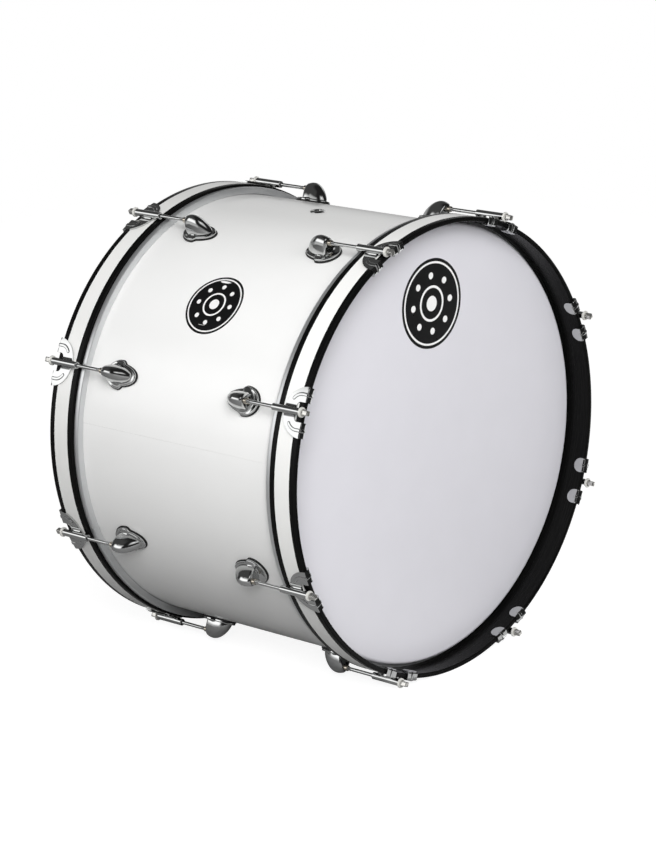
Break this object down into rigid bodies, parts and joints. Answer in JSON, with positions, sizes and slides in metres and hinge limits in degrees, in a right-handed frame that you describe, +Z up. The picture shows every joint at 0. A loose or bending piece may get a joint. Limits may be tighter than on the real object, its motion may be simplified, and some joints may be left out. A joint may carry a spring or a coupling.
{
  "type": "marching bass drum",
  "caption": "Two-headed marching bass drum: white cylindrical shell, black counterhoops with white inlay, chrome lugs, claw hooks and key-turned tension rods.",
  "frame": {"origin": "the middle of the shell, on the drum's axis", "axes": "+X along the drum's axis to the head that the picture shows, +Z up, with two lugs evenly to each side of the lowest line"},
  "size_m": [0.4458, 0.584, 0.584],
  "materials": {
    "shell_ply": "plain maple ply, thin clear seal inside",
    "white_wrap": "gloss",
    "head_film": "smooth satin polyester film",
    "aluminium": "drawn, satin",
    "black_lacquer": "black lacquer, satin",
    "white_inlay": "gloss",
    "chrome": "polished chrome plate",
    "steel": "bright nickel plated steel"
  },
  "bodies": {
    "drum": {"shell": "shell_ply", "shell_wrap": "white_wrap", "vent_grommet": "chrome", "front_head_film": "head_film", "front_flesh_hoop": "aluminium", "front_hoop": "black_lacquer", "front_hoop_inlay": "white_inlay", "front_lug_1": "chrome", "front_lug_2": "chrome", "front_lug_3": "chrome", "front_lug_4": "chrome", "front_lug_5": "chrome", "front_lug_6": "chrome", "front_lug_7": "chrome", "front_lug_8": "chrome", "back_head_film": "head_film", "back_flesh_hoop": "aluminium", "back_hoop": "black_lacquer", "back_hoop_inlay": "white_inlay", "back_lug_1": "chrome", "back_lug_2": "chrome", "back_lug_3": "chrome", "back_lug_4": "chrome", "back_lug_5": "chrome", "back_lug_6": "chrome", "back_lug_7": "chrome", "back_lug_8": "chrome"},
    "front_claw_1": {"front_claw_1": "chrome"},
    "front_rod_1": {"front_rod_1": "steel"},
    "front_claw_2": {"front_claw_2": "chrome"},
    "front_rod_2": {"front_rod_2": "steel"},
    "front_claw_3": {"front_claw_3": "chrome"},
    "front_rod_3": {"front_rod_3": "steel"},
    "front_claw_4": {"front_claw_4": "chrome"},
    "front_rod_4": {"front_rod_4": "steel"},
    "front_claw_5": {"front_claw_5": "chrome"},
    "front_rod_5": {"front_rod_5": "steel"},
    "front_claw_6": {"front_claw_6": "chrome"},
    "front_rod_6": {"front_rod_6": "steel"},
    "front_claw_7": {"front_claw_7": "chrome"},
    "front_rod_7": {"front_rod_7": "steel"},
    "front_claw_8": {"front_claw_8": "chrome"},
    "front_rod_8": {"front_rod_8": "steel"},
    "back_claw_1": {"back_claw_1": "chrome"},
    "back_rod_1": {"back_rod_1": "steel"},
    "back_claw_2": {"back_claw_2": "chrome"},
    "back_rod_2": {"back_rod_2": "steel"},
    "back_claw_3": {"back_claw_3": "chrome"},
    "back_rod_3": {"back_rod_3": "steel"},
    "back_claw_4": {"back_claw_4": "chrome"},
    "back_rod_4": {"back_rod_4": "steel"},
    "back_claw_5": {"back_claw_5": "chrome"},
    "back_rod_5": {"back_rod_5": "steel"},
    "back_claw_6": {"back_claw_6": "chrome"},
    "back_rod_6": {"back_rod_6": "steel"},
    "back_claw_7": {"back_claw_7": "chrome"},
    "back_rod_7": {"back_rod_7": "steel"},
    "back_claw_8": {"back_claw_8": "chrome"},
    "back_rod_8": {"back_rod_8": "steel"}
  },
  "joints": [
    {"name": "front_claw_1_slide", "type": "slide", "parent": "drum", "child": "front_claw_1", "axis": [1, 0, 0], "range_m": [0, 0.01164]},
    {"name": "front_rod_1_turn", "type": "hinge", "parent": "front_claw_1", "child": "front_rod_1", "pos_m": [0.2, 0.27559, 0.11415], "axis": [1, 0, 0], "range_deg": [0, 3960]},
    {"name": "front_claw_2_slide", "type": "slide", "parent": "drum", "child": "front_claw_2", "axis": [1, 0, 0], "range_m": [0, 0.01164]},
    {"name": "front_rod_2_turn", "type": "hinge", "parent": "front_claw_2", "child": "front_rod_2", "pos_m": [0.2, 0.11415, 0.27559], "axis": [1, 0, 0], "range_deg": [0, 3960]},
    {"name": "front_claw_3_slide", "type": "slide", "parent": "drum", "child": "front_claw_3", "axis": [1, 0, 0], "range_m": [0, 0.01164]},
    {"name": "front_rod_3_turn", "type": "hinge", "parent": "front_claw_3", "child": "front_rod_3", "pos_m": [0.2, -0.11415, 0.27559], "axis": [1, 0, 0], "range_deg": [0, 3960]},
    {"name": "front_claw_4_slide", "type": "slide", "parent": "drum", "child": "front_claw_4", "axis": [1, 0, 0], "range_m": [0, 0.01164]},
    {"name": "front_rod_4_turn", "type": "hinge", "parent": "front_claw_4", "child": "front_rod_4", "pos_m": [0.2, -0.27559, 0.11415], "axis": [1, 0, 0], "range_deg": [0, 3960]},
    {"name": "front_claw_5_slide", "type": "slide", "parent": "drum", "child": "front_claw_5", "axis": [1, 0, 0], "range_m": [0, 0.01164]},
    {"name": "front_rod_5_turn", "type": "hinge", "parent": "front_claw_5", "child": "front_rod_5", "pos_m": [0.2, -0.27559, -0.11415], "axis": [1, 0, 0], "range_deg": [0, 3960]},
    {"name": "front_claw_6_slide", "type": "slide", "parent": "drum", "child": "front_claw_6", "axis": [1, 0, 0], "range_m": [0, 0.01164]},
    {"name": "front_rod_6_turn", "type": "hinge", "parent": "front_claw_6", "child": "front_rod_6", "pos_m": [0.2, -0.11415, -0.27559], "axis": [1, 0, 0], "range_deg": [0, 3960]},
    {"name": "front_claw_7_slide", "type": "slide", "parent": "drum", "child": "front_claw_7", "axis": [1, 0, 0], "range_m": [0, 0.01164]},
    {"name": "front_rod_7_turn", "type": "hinge", "parent": "front_claw_7", "child": "front_rod_7", "pos_m": [0.2, 0.11415, -0.27559], "axis": [1, 0, 0], "range_deg": [0, 3960]},
    {"name": "front_claw_8_slide", "type": "slide", "parent": "drum", "child": "front_claw_8", "axis": [1, 0, 0], "range_m": [0, 0.01164]},
    {"name": "front_rod_8_turn", "type": "hinge", "parent": "front_claw_8", "child": "front_rod_8", "pos_m": [0.2, 0.27559, -0.11415], "axis": [1, 0, 0], "range_deg": [0, 3960]},
    {"name": "back_claw_1_slide", "type": "slide", "parent": "drum", "child": "back_claw_1", "axis": [-1, 0, 0], "range_m": [0, 0.01164]},
    {"name": "back_rod_1_turn", "type": "hinge", "parent": "back_claw_1", "child": "back_rod_1", "pos_m": [-0.2, -0.27559, 0.11415], "axis": [-1, 0, 0], "range_deg": [0, 3960]},
    {"name": "back_claw_2_slide", "type": "slide", "parent": "drum", "child": "back_claw_2", "axis": [-1, 0, 0], "range_m": [0, 0.01164]},
    {"name": "back_rod_2_turn", "type": "hinge", "parent": "back_claw_2", "child": "back_rod_2", "pos_m": [-0.2, -0.11415, 0.27559], "axis": [-1, 0, 0], "range_deg": [0, 3960]},
    {"name": "back_claw_3_slide", "type": "slide", "parent": "drum", "child": "back_claw_3", "axis": [-1, 0, 0], "range_m": [0, 0.01164]},
    {"name": "back_rod_3_turn", "type": "hinge", "parent": "back_claw_3", "child": "back_rod_3", "pos_m": [-0.2, 0.11415, 0.27559], "axis": [-1, 0, 0], "range_deg": [0, 3960]},
    {"name": "back_claw_4_slide", "type": "slide", "parent": "drum", "child": "back_claw_4", "axis": [-1, 0, 0], "range_m": [0, 0.01164]},
    {"name": "back_rod_4_turn", "type": "hinge", "parent": "back_claw_4", "child": "back_rod_4", "pos_m": [-0.2, 0.27559, 0.11415], "axis": [-1, 0, 0], "range_deg": [0, 3960]},
    {"name": "back_claw_5_slide", "type": "slide", "parent": "drum", "child": "back_claw_5", "axis": [-1, 0, 0], "range_m": [0, 0.01164]},
    {"name": "back_rod_5_turn", "type": "hinge", "parent": "back_claw_5", "child": "back_rod_5", "pos_m": [-0.2, 0.27559, -0.11415], "axis": [-1, 0, 0], "range_deg": [0, 3960]},
    {"name": "back_claw_6_slide", "type": "slide", "parent": "drum", "child": "back_claw_6", "axis": [-1, 0, 0], "range_m": [0, 0.01164]},
    {"name": "back_rod_6_turn", "type": "hinge", "parent": "back_claw_6", "child": "back_rod_6", "pos_m": [-0.2, 0.11415, -0.27559], "axis": [-1, 0, 0], "range_deg": [0, 3960]},
    {"name": "back_claw_7_slide", "type": "slide", "parent": "drum", "child": "back_claw_7", "axis": [-1, 0, 0], "range_m": [0, 0.01164]},
    {"name": "back_rod_7_turn", "type": "hinge", "parent": "back_claw_7", "child": "back_rod_7", "pos_m": [-0.2, -0.11415, -0.27559], "axis": [-1, 0, 0], "range_deg": [0, 3960]},
    {"name": "back_claw_8_slide", "type": "slide", "parent": "drum", "child": "back_claw_8", "axis": [-1, 0, 0], "range_m": [0, 0.01164]},
    {"name": "back_rod_8_turn", "type": "hinge", "parent": "back_claw_8", "child": "back_rod_8", "pos_m": [-0.2, -0.27559, -0.11415], "axis": [-1, 0, 0], "range_deg": [0, 3960]}
  ],
  "couplings": [
    {"joint": "front_rod_1_turn", "follows": "front_claw_1_slide", "rad_per_m": 5936.9},
    {"joint": "front_rod_2_turn", "follows": "front_claw_2_slide", "rad_per_m": 5936.9},
    {"joint": "front_rod_3_turn", "follows": "front_claw_3_slide", "rad_per_m": 5936.9},
    {"joint": "front_rod_4_turn", "follows": "front_claw_4_slide", "rad_per_m": 5936.9},
    {"joint": "front_rod_5_turn", "follows": "front_claw_5_slide", "rad_per_m": 5936.9},
    {"joint": "front_rod_6_turn", "follows": "front_claw_6_slide", "rad_per_m": 5936.9},
    {"joint": "front_rod_7_turn", "follows": "front_claw_7_slide", "rad_per_m": 5936.9},
    {"joint": "front_rod_8_turn", "follows": "front_claw_8_slide", "rad_per_m": 5936.9},
    {"joint": "back_rod_1_turn", "follows": "back_claw_1_slide", "rad_per_m": 5936.9},
    {"joint": "back_rod_2_turn", "follows": "back_claw_2_slide", "rad_per_m": 5936.9},
    {"joint": "back_rod_3_turn", "follows": "back_claw_3_slide", "rad_per_m": 5936.9},
    {"joint": "back_rod_4_turn", "follows": "back_claw_4_slide", "rad_per_m": 5936.9},
    {"joint": "back_rod_5_turn", "follows": "back_claw_5_slide", "rad_per_m": 5936.9},
    {"joint": "back_rod_6_turn", "follows": "back_claw_6_slide", "rad_per_m": 5936.9},
    {"joint": "back_rod_7_turn", "follows": "back_claw_7_slide", "rad_per_m": 5936.9},
    {"joint": "back_rod_8_turn", "follows": "back_claw_8_slide", "rad_per_m": 5936.9}
  ]
}
